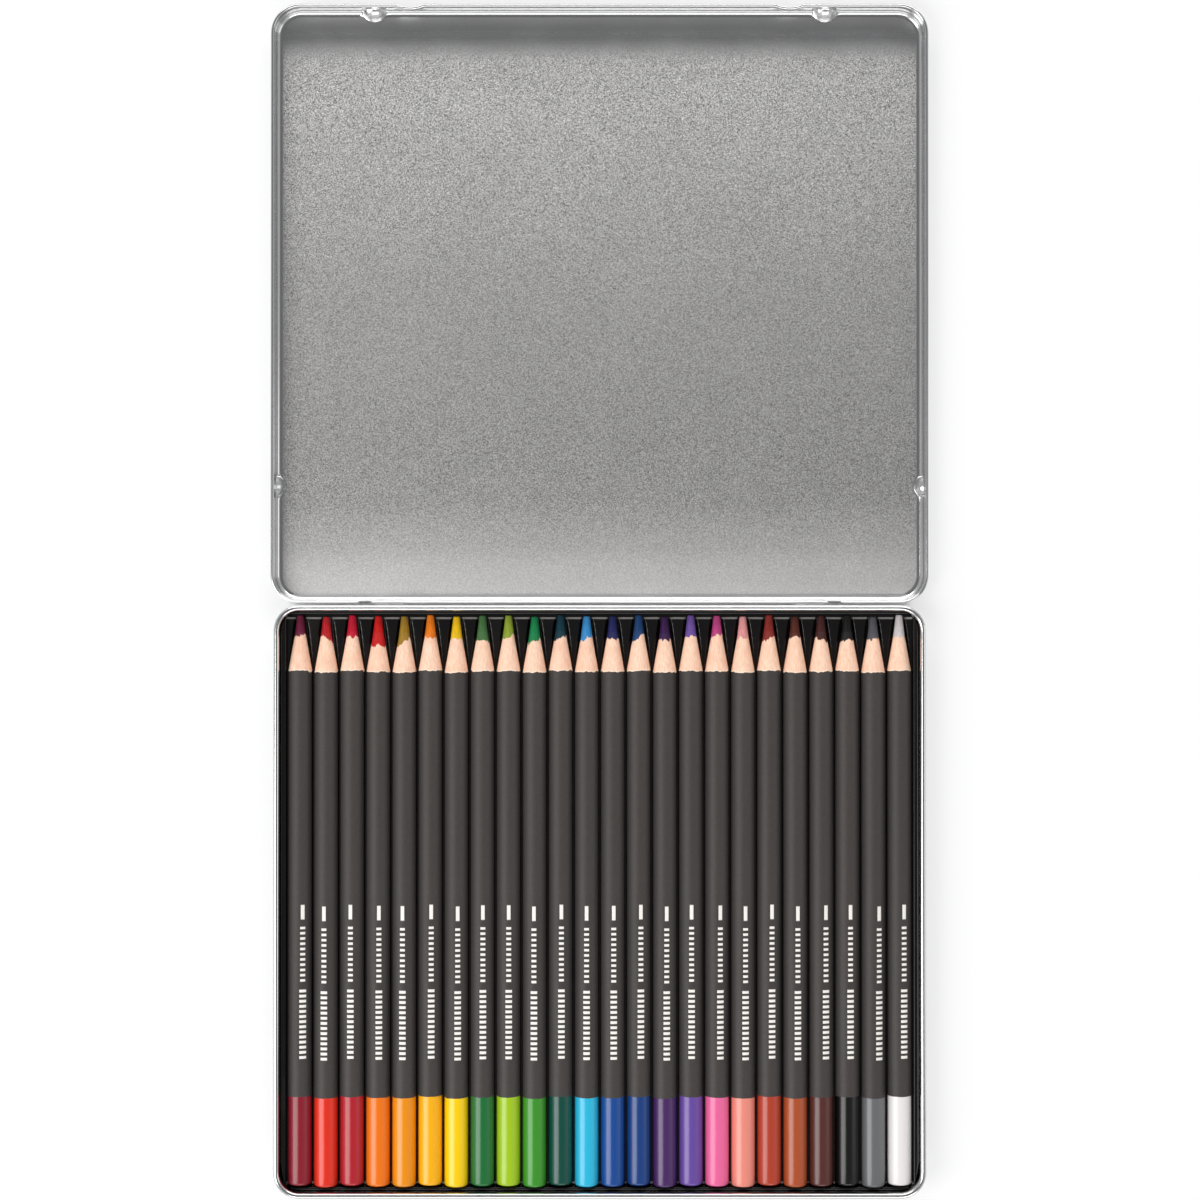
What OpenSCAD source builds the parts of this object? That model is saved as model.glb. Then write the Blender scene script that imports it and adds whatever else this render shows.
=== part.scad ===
// Flat hinged tinplate box with a moulded tray and a row of round colored pencils.
// Shown open, with the lid turned back to lie flat behind the base.
// Origin: middle of the base's underside. +X right, +Y towards the lid, +Z up.

/* [Pencils] */
// Number of pencils in the row
pencil_count = 24; // [12:1:24]
// Diameter of a lacquered pencil
pencil_d = 7.3; // [6.6:0.1:8.2]
// Length of a sharpened pencil
pencil_len = 174.5; // [150:0.5:185]
// Free space between neighbouring pencils
pencil_space = 0.7; // [0.5:0.05:1.5]
// Diameter of the colored core
core_d = 3.6; // [2.6:0.1:4.4]
// Diameter of the blunt writing tip
tip_d = 1.95; // [0.8:0.05:2.4]
// Length of bare core in front of the wood
core_bare = 6.7; // [4:0.1:9]
// Length of the whole sharpened point
point_len = 17; // [12:0.5:24]
// Length of the color-dipped end
dip_len = 27.2; // [10:0.2:45]
// Depth of the dipped end's plug, where the core stops
end_plug = 1.2; // [0.6:0.1:3]
// Edge radius of the dipped end
end_round = 0.8; // [0.3:0.1:1.4]
// Edge radius of the writing tip
tip_round = 0.3; // [0.1:0.05:0.35]
// How far the pencils lie out of line, lengthwise
pencil_stagger = 0.3; // [0:0.05:0.5]

/* [Tinplate] */
// Thickness of the tinplate
sheet_t = 0.25; // [0.2:0.01:0.3]
// Height of the closed tin
tin_h = 13; // [12.4:0.1:18]
// Corner radius of the base, measured inside its wall
corner_r = 6; // [4:0.5:10]
// Free space from the outer pencils to the side walls
side_margin = 2.25; // [2:0.05:5]
// Free space from the pencils' ends to the end walls
end_margin = 1.55; // [1.5:0.05:4]

/* [Base pan] */
// Height of the base over its rolled rim
base_h = 9.8; // [9.4:0.1:10.4]
// Diameter of the base's rolled rim
base_bead_d = 1.8; // [1.3:0.05:2]
// Inside radius between the base's floor and wall
base_fillet = 0.6; // [0.3:0.05:1]

/* [Lid] */
// Diameter of the lid's rolled rim
lid_bead_d = 1.05; // [0.8:0.05:1.3]
// Free space between the lid's wall and the base's rim
lid_gap = 0.2; // [0.15:0.05:0.5]
// Free space at the front, where the latch dents reach in
front_gap = 1; // [0.6:0.05:1.4]
// Inside radius between the lid's plate and wall
lid_fillet = 1.5; // [0.8:0.05:2]
// Opening left in a rolled rim, seen in section
curl_slit = 72; // [60:1:85]

/* [Lid stops and latches] */
// Distance from the base's side wall to each front stop dimple
stop_inset = 28.2; // [12:0.1:30]
// Distance from the hinge to each side stop dimple
stop_from_hinge = 36; // [25:0.5:80]
// How far a stop dimple's centre lies outside the wall
stop_out = 1.1; // [0.6:0.05:1.6]
// How far a stop dimple's centre lies below the lid's plate
stop_drop = 0.2; // [0:0.05:0.4]
// Gap between a stop dimple and the base's rim
stop_gap = 0.06; // [0.03:0.01:0.15]
// Distance from the base's side wall to the middle of each latch dent
latch_inset = 39.6; // [38:0.1:60]
// Width of a latch dent along the rim
latch_w = 8.8; // [6:0.1:11]
// Gap between a latch dent and the base's rim as it passes
latch_gap = 0.08; // [0.05:0.01:0.3]

/* [Hinge] */
// Distance from the base's side wall to the outer edge of each hook
hook_inset = 29.3; // [14:0.1:60]
// Width of a hook
hook_w = 8.6; // [5:0.1:12]
// Radial running clearance between a hook and the lid's rolled rim
hook_fit = 0.08; // [0.05:0.01:0.1]
// How far a hook wraps over the rim, past level
hook_wrap = 125; // [105:1:140]
// Free space in the lid's slot on the inner side of a hook
slot_inner = 0.5; // [0.3:0.05:1]
// Length of the lid's slot left open on the outer side of a hook
slot_open = 5.8; // [2:0.1:8]
// Slant of the slot's outer end
slot_slant = 1.2; // [0:0.1:2]
// Height of sheet left between the slot and the rolled rim
slot_stub = 0.2; // [0.1:0.05:0.4]

/* [Tray] */
// Thickness of the moulded tray
tray_t = 0.45; // [0.3:0.05:0.7]
// Free space round a pencil in its groove
groove_fit = 0.15; // [0.1:0.01:0.3]
// Free space between the tray and the base's walls
tray_gap = 0.2; // [0.1:0.05:0.4]
// How far the ridges stop below the pencils' centre line
ridge_drop = 0.8; // [0.5:0.05:1.5]
// Radius of the narrow end of a groove, round the writing tip
groove_tip_r = 2; // [1.6:0.05:2.6]
// Height of the tray's edge above the ridges
ledge_rise = 2.5; // [1.5:0.1:3]
// Width of the tray's edge behind the writing tips
ledge_w = 0.75; // [0.5:0.05:1.2]
// Free space at each end of a groove, past the stagger
groove_end_fit = 0.25; // [0.1:0.05:0.5]
// How far the grooves' round ends cut into the tray's front edge
scallop_d = 0.3; // [0.1:0.05:0.6]
// Width of the flat land beside the outer grooves
side_land = 0.4; // [0.1:0.05:0.8]
// Width of the cross channel between the ridges and the rear edge
channel_w = 1; // [0.6:0.1:2]
// Width of the cross channel between the ridges and the front edge
front_channel_w = 0.35; // [0.2:0.05:0.6]
// Depth of the cross channel below the ridges
channel_d = 1.4; // [0.5:0.1:2]

/* [Hidden] */
$fn = 64;
eps = 0.01;
pencil_pitch = pencil_d + pencil_space;
pencil_r = pencil_d / 2;
core_r = core_d / 2;
row_w = (pencil_count - 1) * pencil_pitch + pencil_d;
groove_r = pencil_r + groove_fit;
pencil_z = sheet_t + tray_t + groove_r;

base_w = row_w + 2 * side_margin;
base_l = pencil_len + 2 * end_margin;
base_bead_r = base_bead_d / 2;

lid_bead_r = lid_bead_d / 2;
lid_w = base_w + 2 * (base_bead_d + lid_gap);
lid_l = base_l + 2 * base_bead_d + lid_gap + front_gap;
lid_corner_r = corner_r + base_bead_d + lid_gap;
hinge_y = base_l / 2 + base_bead_d + lid_gap + lid_bead_r;
hinge_z = tin_h / 2;
lid_depth = hinge_z + lid_bead_r;
lid_y = hinge_y + lid_bead_r + lid_l / 2;

hook_in_r = lid_bead_r + hook_fit;
hook_out_r = hook_in_r + sheet_t;
hook_blank = hinge_y - base_l / 2 - sheet_t + (90 + hook_wrap) / 180 * PI * (hook_in_r + sheet_t / 2);
hook_root_z = hinge_z - hook_out_r;
window_z = max(hook_root_z - hook_blank, sheet_t + base_fillet);
slot_depth = hook_out_r + slot_stub;
hook_x = base_w / 2 - hook_inset - hook_w;

stop_x = base_w / 2 - stop_inset;
rim_x = -lid_gap - base_bead_r;
rim_z = tin_h - base_h + base_bead_r;

latch_x = base_w / 2 - latch_inset;
latch_depth = front_gap - latch_gap;
latch_r = (pow(latch_w / 2, 2) + pow(latch_depth, 2)) / (2 * latch_depth);
latch_mid_r = latch_r - lid_bead_r;
latch_kink = acos((latch_mid_r - latch_depth) / latch_mid_r);
latch_knuckle_r = lid_bead_r / cos(latch_kink / 2) + eps;

ridge_z = pencil_z - ridge_drop;
ledge_z = ridge_z + ledge_rise;
tray_w = base_w - 2 * tray_gap;
tray_l = base_l - 2 * tray_gap;
tray_corner_r = corner_r - tray_gap;
tray_foot_in = max(base_fillet - tray_gap, 0);
groove_start = -pencil_len / 2 - pencil_stagger - groove_end_fit;
groove_end = tray_l / 2 - ledge_w;
ridge_end = groove_end - channel_w;
front_ledge_y = groove_start + scallop_d;
row_half = row_w / 2 + groove_fit + side_land;

lacquer = "#4a4543";
wood = "#f4cba8";

// Each pencil's name, the paint of its dipped end and its core, from left to right
PAINTS = [
    ["dark red", "#8b1a2b", "#6b1b38"],
    ["orange red", "#e8341f", "#c6232b"],
    ["crimson", "#b3202c", "#c41230"],
    ["orange", "#f47d14", "#d81a1a"],
    ["amber", "#f0951b", "#a5832b"],
    ["golden yellow", "#fdb813", "#f08a1e"],
    ["yellow", "#ffd200", "#efc010"],
    ["forest green", "#1f7a3a", "#44703f"],
    ["lime", "#a4c91d", "#8fa332"],
    ["leaf green", "#46a02f", "#178a50"],
    ["dark teal", "#0b5345", "#0c4a5c"],
    ["sky blue", "#2bbbe0", "#3a8dcb"],
    ["blue", "#1550a0", "#2c3070"],
    ["deep blue", "#17408b", "#1f4c86"],
    ["purple", "#4a2a6b", "#4a1f5e"],
    ["violet", "#6a4aa0", "#8262b0"],
    ["pink", "#f06aa0", "#d14d93"],
    ["salmon", "#f09080", "#e89a9a"],
    ["brick", "#b5402a", "#8b2b25"],
    ["rust", "#b4532d", "#6e3527"],
    ["dark brown", "#5c2e28", "#55262a"],
    ["black", "#151515", "#232324"],
    ["grey", "#6b6c6e", "#55555c"],
    ["white", "#efeae8", "#dad2d2"]
];

function two_digits(i) = i < 10 ? str("0", i) : str(i);
function casing_name(i) = str("pencil_", two_digits(i), "_casing");
function core_name(i) = str("pencil_", two_digits(i), "_core");
function pencil_x(i) = (i - (pencil_count + 1) / 2) * pencil_pitch;
function pencil_shift(i) = pencil_stagger * sin(i * 137.5);
function arc_points(cx, cy, r, from, to, steps) =
    [for (k = [0:steps]) let (a = from + (to - from) * k / steps) [cx + r * cos(a), cy + r * sin(a)]];

// Rounded rectangle from true arcs
module rounded_rect(w, l, r) {
    square([w - 2 * r, l], center = true);
    square([w, l - 2 * r], center = true);
    for (sx = [-1, 1], sy = [-1, 1])
        translate([sx * (w / 2 - r), sy * (l / 2 - r)])
            circle(r);
}

module rounded_slab(w, l, r, h) {
    linear_extrude(h)
        rounded_rect(w, l, r);
}

// Carries a section round a rounded rectangle. In the section, x = 0 is the wall's
// inner face, +x points outward and y is the height.
module rim_sweep(w, l, r) {
    for (side = [0:3]) {
        hx = (side % 2 == 0 ? w : l) / 2;
        hy = (side % 2 == 0 ? l : w) / 2;
        rotate([0, 0, 90 * side]) {
            translate([hx, hy - r, 0])
                rotate([90, 0, 0])
                    linear_extrude(2 * (hy - r))
                        children();
            translate([hx - r, hy - r, 0])
                rotate_extrude(angle = 90)
                    translate([r, 0])
                        children();
        }
    }
}

// Section of a rolled rim, open below where it leaves the wall
module curl_section(bead_r) {
    far = 2 * bead_r;
    difference() {
        circle(bead_r);
        circle(bead_r - sheet_t);
        polygon([[0, 0], [-far, 0], [-far, -far * tan(curl_slit)]]);
    }
}

// Section of a drawn wall: fillet at the floor, wall, and a rim rolled outward
module wall_section(h, fillet, bead_r) {
    bead_z = h - bead_r;
    translate([-fillet, sheet_t + fillet])
        difference() {
            intersection() {
                circle(fillet + sheet_t);
                translate([0, -3 * fillet])
                    square(3 * fillet);
            }
            circle(fillet);
        }
    translate([0, sheet_t + fillet])
        square([sheet_t, bead_z - sheet_t - fillet]);
    translate([bead_r, bead_z])
        curl_section(bead_r);
}

// Open pan of thin sheet with a rolled rim
module drawn_pan(w, l, r, h, fillet, bead_r) {
    rounded_slab(w - 2 * fillet, l - 2 * fillet, r - fillet, sheet_t);
    rim_sweep(w, l, r)
        wall_section(h, fillet, bead_r);
}

// Hook that grips the lid's rolled rim: a flat root from the wall, then a curl
module hinge_hook() {
    root_y = base_l / 2 + sheet_t;
    far = 2 * hook_out_r;
    rotate([90, 0, 90])
        linear_extrude(hook_w) {
            translate([root_y - eps, hook_root_z])
                square([hinge_y - root_y + eps, sheet_t]);
            translate([hinge_y, hinge_z])
                difference() {
                    circle(hook_out_r);
                    circle(hook_in_r);
                    polygon([
                        [0, 0],
                        far * [cos(hook_wrap), sin(hook_wrap)],
                        far * [-1, 0.5],
                        far * [-1, -1],
                        far * [0, -1]
                    ]);
                }
        }
}

module base_pan() {
    color("#d9dbdc") {
        difference() {
            drawn_pan(base_w, base_l, corner_r, base_h, base_fillet, base_bead_r);
            for (side = [-1, 1])
                translate([side * (hook_x + hook_w / 2) - hook_w / 2, base_l / 2 - 1, window_z])
                    cube([hook_w, 2, hook_root_z - window_z]);
        }
        for (side = [-1, 1])
            translate([side * (hook_x + hook_w / 2) - hook_w / 2, 0, 0])
                hinge_hook();
    }
}

// Slot in the lid's wall that the hook passes through, open further out with a slanted end
module lid_slot() {
    from = hook_x - slot_inner;
    to = hook_x + hook_w + slot_open;
    wall_y = hinge_y + lid_bead_r;
    translate([from, wall_y - 2 * lid_bead_r, hinge_z - slot_depth])
        cube([to - from, 2 * lid_bead_r + 1, slot_depth - slot_stub]);
    translate([0, 0, hinge_z - slot_depth])
        linear_extrude(slot_depth + lid_bead_d)
            polygon([
                [hook_x + hook_w + slot_inner, wall_y + eps],
                [to - slot_slant, wall_y + eps],
                [to, hinge_y - lid_bead_r / 3],
                [hook_x + hook_w + slot_inner + slot_slant, hinge_y - lid_bead_r / 3]
            ]);
}

// Ball that dents the lid's edge until it meets the base's rim in the closed tin.
// Drawn at the wall's inner face, in the XZ plane, with +x outward.
function stop_r(extra) = norm([stop_out - rim_x + extra, rim_z + stop_drop]) - base_bead_r - stop_gap;

module stop_solid(extra) {
    r = stop_r(extra);
    intersection() {
        translate([stop_out, 0, -stop_drop])
            sphere(r);
        rotate([90, 0, 0])
            linear_extrude(2 * r + 2, center = true)
                difference() {
                    translate([-2 * r, 0])
                        square([2 * r + sheet_t, 2 * r]);
                    difference() {
                        translate([-lid_fillet, 0])
                            square([lid_fillet + sheet_t, lid_fillet + sheet_t]);
                        translate([-lid_fillet, lid_fillet + sheet_t])
                            circle(lid_fillet + sheet_t);
                    }
                }
    }
}

// Places a child at each stop dimple: two at the front edge, one on each side
module at_stops() {
    for (side = [-1, 1]) {
        translate([side * stop_x, lid_y + lid_l / 2, 0])
            rotate([0, 0, 90])
                children(0);
        translate([side * lid_w / 2, hinge_y + stop_from_hinge, 0])
            rotate([0, 0, side > 0 ? 0 : 180])
                children(1);
    }
}

module stop_hollow(extra) {
    translate([stop_out, 0, -stop_drop])
        sphere(stop_r(extra) - sheet_t);
}

// Places a child at the middle of each latch dent, on the front wall's inner face
module at_latches() {
    for (side = [-1, 1])
        translate([side * latch_x, lid_y + lid_l / 2, 0])
            children();
}

// The length of straight rolled rim that a latch dent takes
module latch_window() {
    half = latch_mid_r * sin(latch_kink);
    translate([-half, -front_gap, hinge_z - lid_bead_r - eps])
        cube([2 * half, front_gap + 2 * lid_bead_d, 2 * lid_bead_d]);
}

// The ball that presses a latch dent, kept to the wall between its fillet and the rim
module latch_ball(r) {
    from_z = sheet_t + lid_fillet;
    intersection() {
        translate([0, latch_r - latch_depth, hinge_z])
            sphere(r);
        translate([-latch_r, -front_gap, from_z])
            cube([2 * latch_r, front_gap + sheet_t, hinge_z - from_z]);
    }
}

// The rolled rim where it follows a latch dent inward, with a knuckle at each kink
module latch_rim() {
    translate([0, latch_r - latch_depth, hinge_z])
        rotate([0, 0, -90 - latch_kink])
            rotate_extrude(angle = 2 * latch_kink)
                translate([latch_mid_r, 0])
                    mirror([1, 0])
                        curl_section(lid_bead_r);
    for (side = [-1, 1])
        translate([side * latch_mid_r * sin(latch_kink), lid_bead_r, hinge_z])
            sphere(latch_knuckle_r);
}

module lid() {
    front_extra = front_gap - lid_gap;
    color("#a8a7a2") {
        difference() {
            union() {
                difference() {
                    translate([0, lid_y, 0])
                        drawn_pan(lid_w, lid_l, lid_corner_r, lid_depth, lid_fillet, lid_bead_r);
                    at_latches()
                        latch_window();
                }
                at_latches()
                    latch_ball(latch_r);
                at_stops() {
                    stop_solid(front_extra);
                    stop_solid(0);
                }
            }
            at_latches()
                latch_ball(latch_r - sheet_t);
            at_stops() {
                stop_hollow(front_extra);
                stop_hollow(0);
            }
            for (side = [0, 1])
                mirror([side, 0, 0])
                    lid_slot();
        }
        at_latches()
            latch_rim();
    }
}

// One groove: a round trough that narrows round the point
module groove(i, wall) {
    point_y = pencil_len / 2 - point_len;
    translate([pencil_x(i), 0, pencil_z])
        rotate([-90, 0, 0])
            rotate_extrude()
                polygon([
                    [0, groove_start - wall],
                    [groove_r + wall, groove_start - wall],
                    [groove_r + wall, point_y],
                    [groove_tip_r + wall, ridge_end],
                    [groove_tip_r + wall, groove_end + wall],
                    [0, groove_end + wall]
                ]);
}

// Clears the tray over the whole row, from one height up and between two ends
module row_cut(from_y, to_y, from_z) {
    translate([-row_half, from_y, from_z])
        cube([2 * row_half, to_y - from_y, tin_h]);
}

// The tray's outline as a block, drawn in from its edge
module tray_inset(inset, h) {
    rounded_slab(tray_w - 2 * inset, tray_l - 2 * inset, tray_corner_r - inset, h);
}

// The moulded tray. Its foot is drawn in to clear the fillet round the base's floor.
module tray() {
    channel_z = ridge_z - channel_d;
    color("#141414")
        difference() {
            union() {
                translate([0, 0, sheet_t + base_fillet])
                    rounded_slab(tray_w, tray_l, tray_corner_r, ledge_z - sheet_t - base_fillet);
                translate([0, 0, sheet_t])
                    tray_inset(tray_foot_in, base_fillet);
            }
            row_cut(front_ledge_y, groove_end, ridge_z);
            row_cut(front_ledge_y, front_ledge_y + front_channel_w, channel_z);
            row_cut(ridge_end, groove_end, channel_z);
            for (i = [1:pencil_count])
                groove(i, 0);
            difference() {
                tray_inset(tray_foot_in + tray_t, channel_z - tray_t);
                for (i = [1:pencil_count])
                    groove(i, tray_t);
            }
        }
}

// Carries a pencil part, drawn along +z from the writing tip, to its place in the row
module in_row(i) {
    translate([pencil_x(i), pencil_len / 2 + pencil_shift(i), pencil_z])
        rotate([90, 0, 0])
            children();
}

// Casing of a pencil. Wood and dip run a hair under the lacquer, so that the three are one solid.
module casing(i) {
    dip_start = pencil_len - dip_len;
    in_row(i) {
        color(wood)
            rotate_extrude()
                polygon([
                    [core_r, core_bare],
                    [pencil_r, point_len],
                    [pencil_r, point_len + eps],
                    [core_r, point_len + eps]
                ]);
        color(lacquer)
            rotate_extrude()
                translate([core_r, point_len])
                    square([pencil_r - core_r, dip_start - point_len]);
        color(PAINTS[i - 1][1])
            rotate_extrude()
                polygon(concat(
                    [[pencil_r, dip_start - eps]],
                    arc_points(pencil_r - end_round, pencil_len - end_round, end_round, 0, 90, 6),
                    [[0, pencil_len], [0, pencil_len - end_plug], [core_r, pencil_len - end_plug],
                     [core_r, dip_start - eps]]
                ));
    }
}

module core(i) {
    color(PAINTS[i - 1][2])
        in_row(i)
            rotate_extrude()
                polygon(concat(
                    [[0, pencil_len - end_plug], [0, 0]],
                    arc_points(tip_d / 2 - tip_round, tip_round, tip_round, -90, 0, 4),
                    [[core_r, core_bare], [core_r, pencil_len - end_plug]]
                ));
}

base_pan();
lid();
tray();
for (i = [1:pencil_count]) {
    casing(i);
    core(i);
}
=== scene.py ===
import bpy
import bmesh
import math
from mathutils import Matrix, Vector


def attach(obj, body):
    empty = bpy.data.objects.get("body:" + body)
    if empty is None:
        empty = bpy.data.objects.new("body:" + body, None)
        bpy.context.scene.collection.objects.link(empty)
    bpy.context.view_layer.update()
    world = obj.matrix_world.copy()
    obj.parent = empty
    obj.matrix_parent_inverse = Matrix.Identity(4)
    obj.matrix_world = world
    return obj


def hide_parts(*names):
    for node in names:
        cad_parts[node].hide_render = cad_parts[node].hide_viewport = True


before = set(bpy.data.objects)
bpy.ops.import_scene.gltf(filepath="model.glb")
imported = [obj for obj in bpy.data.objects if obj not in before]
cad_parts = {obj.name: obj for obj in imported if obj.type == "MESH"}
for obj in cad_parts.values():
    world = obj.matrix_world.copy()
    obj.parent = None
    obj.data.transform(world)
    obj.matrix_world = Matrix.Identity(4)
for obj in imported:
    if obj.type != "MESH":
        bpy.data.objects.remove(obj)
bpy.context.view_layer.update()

# Sizes are in millimetres here and turned into metres when a mesh is made.
MM = 0.001

PENCILS = 24
PITCH = 8.0
PENCIL_R = 3.65
PENCIL_LEN = 174.5
PENCIL_Z = 4.5
CORE_R = 1.8
TIP_R = 0.975
TIP_ROUND = 0.3
CORE_BARE = 6.7
POINT_LEN = 17.0
DIP_LEN = 27.2
END_ROUND = 0.8
STAGGER = 0.3
STAGGER_TURN = 137.5
CASING_START = CORE_BARE - 1.6
PENCIL_SIDES = 56
SEED_STEP = 7.31

SHEET = 0.25
TIN_H = 13.0
CURL_SLIT = 72

BASE_W = 195.8
BASE_L = 177.6
BASE_H = 9.8
BASE_CORNER = 6.0
BASE_BEAD_R = 0.9
BASE_FILLET = 0.6

LID_BEAD_R = 0.525
LID_GAP = 0.2
FRONT_GAP = 1.0
LID_FILLET = 1.5
LID_W = BASE_W + 4 * BASE_BEAD_R + 2 * LID_GAP
LID_L = BASE_L + 4 * BASE_BEAD_R + LID_GAP + FRONT_GAP
LID_CORNER = BASE_CORNER + 2 * BASE_BEAD_R + LID_GAP
HINGE_Y = BASE_L / 2 + 2 * BASE_BEAD_R + LID_GAP + LID_BEAD_R
HINGE_Z = TIN_H / 2
LID_Y = HINGE_Y + LID_BEAD_R + LID_L / 2
LID_DEPTH = HINGE_Z + LID_BEAD_R

STOP_X = 69.7
STOP_FROM_HINGE = 36.0
STOP_OUT = 1.1
STOP_GAP = 0.06
STOP_RISE = -0.2
STOP_FILLET = 0.35
LATCH_X = 58.3
LATCH_W = 8.8
LATCH_GAP = 0.08

HOOK_X = 60.0
HOOK_W = 8.6
HOOK_FIT = 0.08
HOOK_WRAP = 125
HOOK_IN_R = LID_BEAD_R + HOOK_FIT
HOOK_OUT_R = HOOK_IN_R + SHEET
HOOK_ROOT_Z = HINGE_Z - HOOK_OUT_R
WINDOW_Z = 0.85
SLOT_INNER = 0.5
SLOT_OPEN = 5.8
SLOT_SLANT = 1.2
SLOT_STUB = 0.2

TRAY_GAP = 0.2
TRAY_CORNER = 5.8
TRAY_W = BASE_W - 2 * TRAY_GAP
TRAY_L = BASE_L - 2 * TRAY_GAP
GROOVE_R = 3.8
GROOVE_TIP_R = 2.0
RIDGE_Z = 3.7
LEDGE_Z = 6.2
CHANNEL_Z = 2.3
GROOVE_START = -87.8
GROOVE_END = 87.85
RIDGE_END = 86.85
FRONT_LEDGE = -87.5
FRONT_CHANNEL = 0.35
ROW_HALF = 96.2
RIDGE_BEVEL = 0.6
REAR_BEVEL_SLOPE = math.tan(math.radians(27))
FRONT_BEVEL_SLOPE = math.tan(math.radians(18))
LEDGE_ROUND = 0.3
EDGE_DROP = 0.12
RIDGE_ROUND = 0.25
TROUGH_WALL_SLOPE = 20

# How close together the tray's points lie: from a pencil's middle, from a ridge's end, from the raised edge
GROOVE_STEPS = (
    0.0, 0.5, 1.0, 1.4, 1.7, 1.9, 2.05, 2.3, 2.6, 2.9, 3.2, 3.4, 3.55, 3.66, 3.74, 3.82, 3.92, PITCH / 2)
RIDGE_STEPS = (0.001, 0.2, 0.4, 0.599, 0.601, 0.75)
LEDGE_STEPS = (0.0, 0.02, 0.05, 0.1, 0.16, 0.23, 0.3)
TRAY_SIDES = (96.8, 97.3, 97.55, TRAY_W / 2)
TRAY_ROWS = (
    -88.45, -87.8, -87.7, -87.6, -87.52, -87.48, -87.4, -87.3, -87.2, -87.151,
    -80.0, -40.0, 0.0, 40.0, 65.0, 70.2, 71.5, 74.0, 76.5, 79.0, 81.5, 84.0, 85.5,
    86.88, 87.0, 87.3, 87.6, 87.76, 88.45)

# Each pencil's dip paint and core colour, from left to right
PAINTS = [
    ("8b1a2b", "6b1b38"), ("e43018", "bc1f26"), ("b3202c", "c41230"), ("f4780c", "cc1515"),
    ("f0930a", "a07a22"), ("fdb508", "ee7c12"), ("ffd200", "efc010"), ("1a6f35", "44703f"),
    ("a4c91d", "8fa332"), ("3c9428", "118048"), ("064a3d", "083642"), ("2bbbe0", "3a8dcb"),
    ("164a94", "20245a"), ("173f80", "1a4070"), ("4a2862", "38184a"), ("6a4aa0", "7052a0"),
    ("f06aa0", "c04482"), ("f09080", "e89a9a"), ("b5402a", "8b2b25"), ("b0522c", "56281d"),
    ("572c27", "45201f"), ("0e0d0c", "161515"), ("6b6c6e", "55555c"), ("efeae8", "dad2d2"),
]

# How far each core shows from its tip, and how much further on its left side than on its right
CORE_EDGES = [
    (6.6, 0.2), (6.7, -0.3), (6.8, 0.1), (9.1, 0.0), (8.0, 0.5), (6.8, 0.1), (7.0, 0.0), (7.7, -0.3),
    (6.7, 0.2), (7.8, 0.3), (7.2, 0.2), (6.9, 0.45), (7.2, 0.0), (7.3, 0.6), (7.2, 0.0), (6.5, 0.2),
    (6.2, 0.3), (6.6, 0.0), (7.2, 0.3), (6.5, 0.2), (7.2, -0.4), (7.9, 0.1), (6.7, 0.0), (6.6, 0.1),
]

# How far each pencil's foil print lies to the right of its middle
PRINT_PLACES = [
    1.2, -0.3, -0.2, 0.5, -0.3, 0.5, 0.6, 0.3, 0.2, -0.1, 0.3, 0.0,
    0.3, 0.6, 0.5, 0.1, 0.9, 0.6, 0.7, 0.6, 1.2, 0.7, 1.5, 1.1,
]


def colour(code):
    """A written colour as the linear colour that Blender works in."""
    linear = []
    for k in (0, 2, 4):
        c = int(code[k:k + 2], 16) / 255
        linear.append(c / 12.92 if c <= 0.04045 else ((c + 0.055) / 1.055) ** 2.4)
    return (*linear, 1.0)


# Nodes

def put(tree, kind, values=None, **settings):
    """Adds a node. A value that is a socket is linked, and any other is typed in."""
    made = tree.nodes.new(kind)
    for name, value in settings.items():
        setattr(made, name, value)
    for name, value in (values or {}).items():
        if isinstance(value, bpy.types.NodeSocket):
            tree.links.new(value, made.inputs[name])
        else:
            made.inputs[name].default_value = value
    return made


def calc(tree, operation, *values):
    """One step of arithmetic on sockets and numbers."""
    return put(tree, "ShaderNodeMath", dict(enumerate(values)), operation=operation).outputs[0]


def times(tree, first, second):
    return calc(tree, "MULTIPLY", first, second)


def plus(tree, first, second):
    return calc(tree, "ADD", first, second)


def minus(tree, first, second):
    return calc(tree, "SUBTRACT", first, second)


def larger(tree, first, second):
    return calc(tree, "MAXIMUM", first, second)


def soft_step(tree, value, low, high, to_low=0.0, to_high=1.0):
    made = put(tree, "ShaderNodeMapRange", {
        "Value": value, "From Min": low, "From Max": high, "To Min": to_low, "To Max": to_high,
    }, interpolation_type="SMOOTHSTEP")
    return made.outputs["Result"]


def blend(tree, mask, low, high):
    """A number that runs from low to high with the mask."""
    return put(tree, "ShaderNodeMix", {0: mask, 2: low, 3: high}).outputs[0]


def mix_colour(tree, mask, first, second):
    """A colour that runs from the first to the second with the mask."""
    return put(tree, "ShaderNodeMix", {0: mask, 6: first, 7: second}, data_type="RGBA").outputs[2]


def shaded(tree, paint, shade):
    """A paint multiplied by a shade, which is a number or a colour."""
    values = {0: 1.0, 6: paint, 7: shade}
    return put(tree, "ShaderNodeMix", values, data_type="RGBA", blend_type="MULTIPLY").outputs[2]


def noise(tree, place, seed, scale, detail=2.0, roughness=0.5, distortion=0.0):
    made = put(tree, "ShaderNodeTexNoise", {
        "Vector": place, "W": seed, "Scale": scale, "Detail": detail, "Roughness": roughness,
        "Distortion": distortion}, noise_dimensions="4D")
    return made.outputs[0]


def axes_of(tree, vector):
    return put(tree, "ShaderNodeSeparateXYZ", {0: vector}).outputs


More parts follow.
